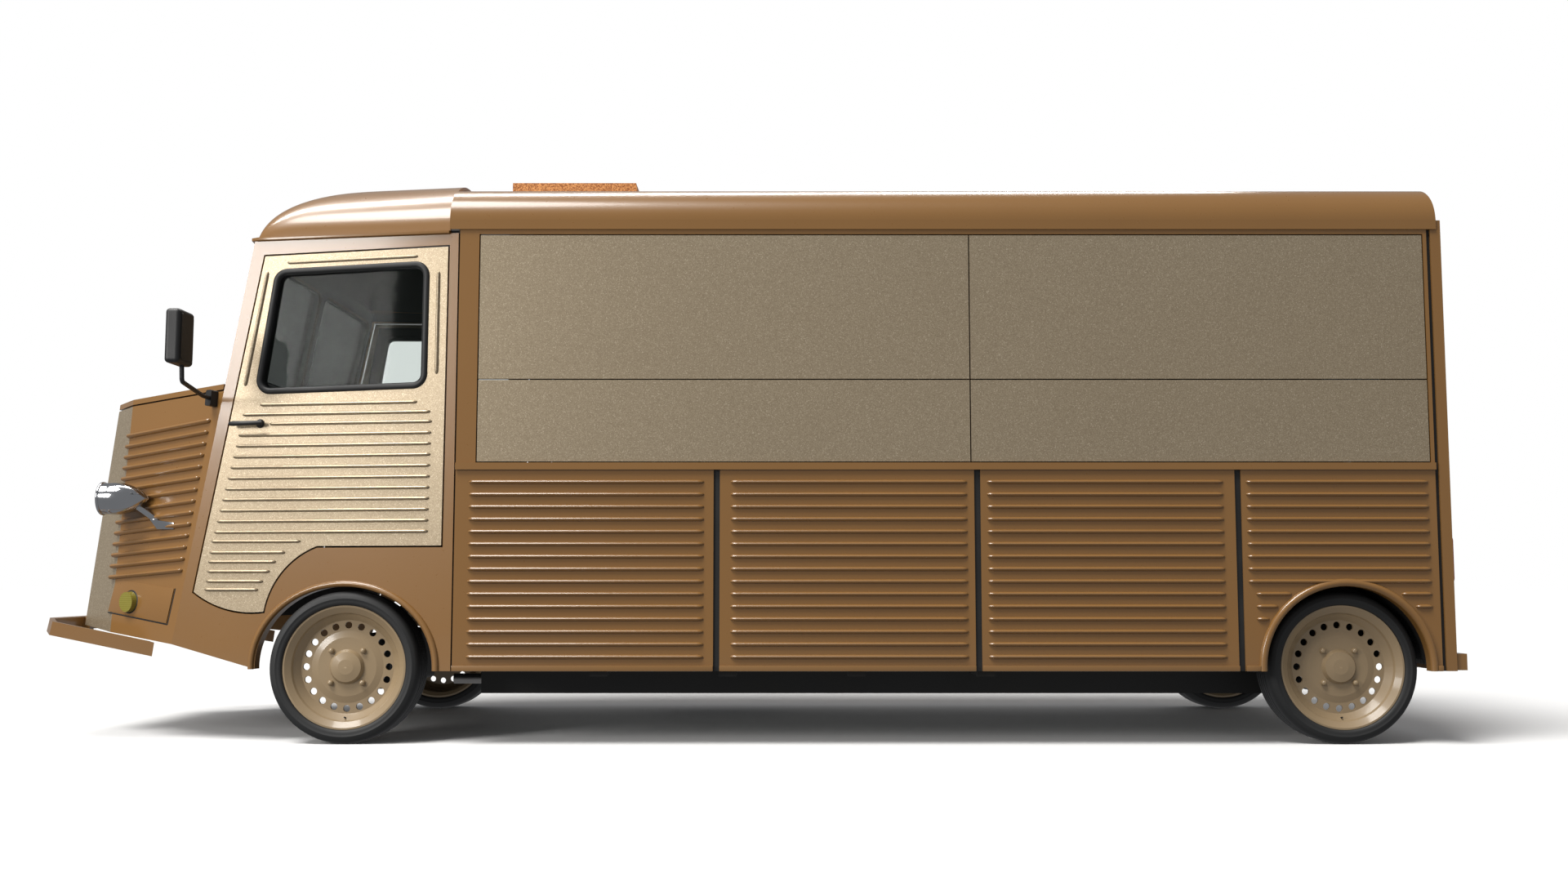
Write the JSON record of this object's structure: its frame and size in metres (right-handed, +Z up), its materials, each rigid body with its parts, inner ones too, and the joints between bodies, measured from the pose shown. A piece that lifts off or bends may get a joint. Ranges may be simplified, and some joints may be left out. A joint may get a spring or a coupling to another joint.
{
  "type": "food truck",
  "caption": "Long forward-cab food truck with corrugated sides, domed cab roof, serving hatches along one side and opening doors, bonnet and tailgate.",
  "frame": {"origin": "on the ground at the middle of the truck's length and width", "axes": "+X towards the rear, so the nose points to -X; -Y is the driver's left side with the serving hatches; +Z up"},
  "size_m": [5.82, 2.52, 2.45],
  "materials": {
    "ochre_paint": "gloss ochre paint",
    "beige_metallic": "satin beige metallic paint",
    "chassis_black": "black chassis paint",
    "rubber_black": "black rubber",
    "tyre_black": "smooth black tyre",
    "rim_beige": "gloss beige wheel paint",
    "chrome": "chrome plating",
    "clear_glass": "clear window glass",
    "olive_lens": "yellow-green lens",
    "red_lens": "red lens",
    "black_plastic": "black moulded plastic",
    "orange_vent": "grained orange coating",
    "seat_leather": "dark seat leather",
    "iron": "cast iron",
    "steel": "plain steel",
    "floor_plate": "ribbed floor plate"
  },
  "bodies": {
    "truck_body": {"cab_sides": "ochre_paint", "windscreen_frame": "ochre_paint", "windscreen_glass": "clear_glass", "box_roof": "ochre_paint", "cab_roof": "ochre_paint", "roof_vent": "orange_vent", "lower_panels": "ochre_paint", "panel_strips": "rubber_black", "belt_rails": "ochre_paint", "body_posts": "ochre_paint", "cant_rails": "ochre_paint", "fixed_side_panels": "beige_metallic", "rear_frame": "ochre_paint", "nose_sides": "ochre_paint", "nose_front": "beige_metallic", "grille": "beige_metallic", "cab_floor": "chassis_black", "box_floor": "floor_plate", "rear_wheel_boxes": "chassis_black", "chassis_rails": "chassis_black", "crossmembers": "chassis_black", "front_axle": "chassis_black", "rear_axle": "chassis_black", "engine_block": "iron", "fuel_tank": "chassis_black", "exhaust": "steel", "front_bumper": "ochre_paint", "rear_bumper": "ochre_paint", "headlamps": "chrome", "indicators": "olive_lens", "tail_lamps": "red_lens", "mirrors": "black_plastic", "seat_frames": "chassis_black", "seat_pads": "seat_leather", "dashboard": "black_plastic", "steering_wheel": "black_plastic"},
    "knuckle_left": {"knuckle_left": "steel"},
    "knuckle_right": {"knuckle_right": "steel"},
    "wheel_front_left": {"rim_front_left": "rim_beige", "tyre_front_left": "tyre_black"},
    "wheel_front_right": {"rim_front_right": "rim_beige", "tyre_front_right": "tyre_black"},
    "wheel_rear_left": {"rim_rear_left": "rim_beige", "tyre_rear_left": "tyre_black"},
    "wheel_rear_right": {"rim_rear_right": "rim_beige", "tyre_rear_right": "tyre_black"},
    "cab_door_left": {"cab_door_left": "beige_metallic", "door_glass_left": "clear_glass"},
    "cab_door_right": {"cab_door_right": "beige_metallic", "door_glass_right": "clear_glass"},
    "bonnet": {"bonnet": "ochre_paint"},
    "tailgate": {"tailgate": "beige_metallic", "tailgate_glass": "clear_glass"},
    "rear_door_left": {"rear_door_left": "ochre_paint"},
    "rear_door_right": {"rear_door_right": "ochre_paint"},
    "upper_hatch_front": {"upper_hatch_front": "beige_metallic"},
    "upper_hatch_rear": {"upper_hatch_rear": "beige_metallic"},
    "lower_hatch_front": {"lower_hatch_front": "beige_metallic"},
    "lower_hatch_rear": {"lower_hatch_rear": "beige_metallic"}
  },
  "joints": [
    {"name": "steer_left", "type": "hinge", "parent": "truck_body", "child": "knuckle_left", "pos_m": [-1.565, -0.78, 0.304], "axis": [0, 0, 1], "range_deg": [-30, 30]},
    {"name": "steer_right", "type": "hinge", "parent": "truck_body", "child": "knuckle_right", "pos_m": [-1.565, 0.78, 0.304], "axis": [0, 0, 1], "range_deg": [-30, 30]},
    {"name": "spin_front_left", "type": "hinge", "parent": "knuckle_left", "child": "wheel_front_left", "pos_m": [-1.565, -0.85, 0.304], "axis": [0, 1, 0], "continuous": true},
    {"name": "spin_front_right", "type": "hinge", "parent": "knuckle_right", "child": "wheel_front_right", "pos_m": [-1.565, 0.85, 0.304], "axis": [0, 1, 0], "continuous": true},
    {"name": "spin_rear_left", "type": "hinge", "parent": "truck_body", "child": "wheel_rear_left", "pos_m": [2.435, -0.85, 0.304], "axis": [0, 1, 0], "continuous": true},
    {"name": "spin_rear_right", "type": "hinge", "parent": "truck_body", "child": "wheel_rear_right", "pos_m": [2.435, 0.85, 0.304], "axis": [0, 1, 0], "continuous": true},
    {"name": "door_left_hinge", "type": "hinge", "parent": "truck_body", "child": "cab_door_left", "pos_m": [-1.1655, -1.004, 1.4], "axis": [0, 0, 1], "range_deg": [0, 75]},
    {"name": "door_right_hinge", "type": "hinge", "parent": "truck_body", "child": "cab_door_right", "pos_m": [-1.1655, 1.004, 1.4], "axis": [0, 0, -1], "range_deg": [0, 75]},
    {"name": "bonnet_hinge", "type": "hinge", "parent": "truck_body", "child": "bonnet", "pos_m": [-2.118, 0, 1.487], "axis": [0, 1, 0], "range_deg": [0, 60]},
    {"name": "tailgate_hinge", "type": "hinge", "parent": "truck_body", "child": "tailgate", "pos_m": [2.871, 0, 1.9835], "axis": [0, -1, 0], "range_deg": [0, 85]},
    {"name": "rear_door_left_hinge", "type": "hinge", "parent": "truck_body", "child": "rear_door_left", "pos_m": [2.871, -0.8865, 0.79], "axis": [0, 0, -1], "range_deg": [0, 110]},
    {"name": "rear_door_right_hinge", "type": "hinge", "parent": "truck_body", "child": "rear_door_right", "pos_m": [2.871, 0.8865, 0.79], "axis": [0, 0, 1], "range_deg": [0, 110]},
    {"name": "upper_hatch_front_hinge", "type": "hinge", "parent": "truck_body", "child": "upper_hatch_front", "pos_m": [-0.044, -1.006, 2.0505], "axis": [-1, 0, 0], "range_deg": [0, 90]},
    {"name": "upper_hatch_rear_hinge", "type": "hinge", "parent": "truck_body", "child": "upper_hatch_rear", "pos_m": [1.867, -1.006, 2.0505], "axis": [-1, 0, 0], "range_deg": [0, 90]},
    {"name": "lower_hatch_front_hinge", "type": "hinge", "parent": "truck_body", "child": "lower_hatch_front", "pos_m": [-0.044, -1.006, 1.1235], "axis": [1, 0, 0], "range_deg": [0, 90]},
    {"name": "lower_hatch_rear_hinge", "type": "hinge", "parent": "truck_body", "child": "lower_hatch_rear", "pos_m": [1.867, -1.006, 1.1235], "axis": [1, 0, 0], "range_deg": [0, 90]}
  ],
  "couplings": [
    {"joint": "steer_right", "follows": "steer_left", "ratio": 1}
  ]
}
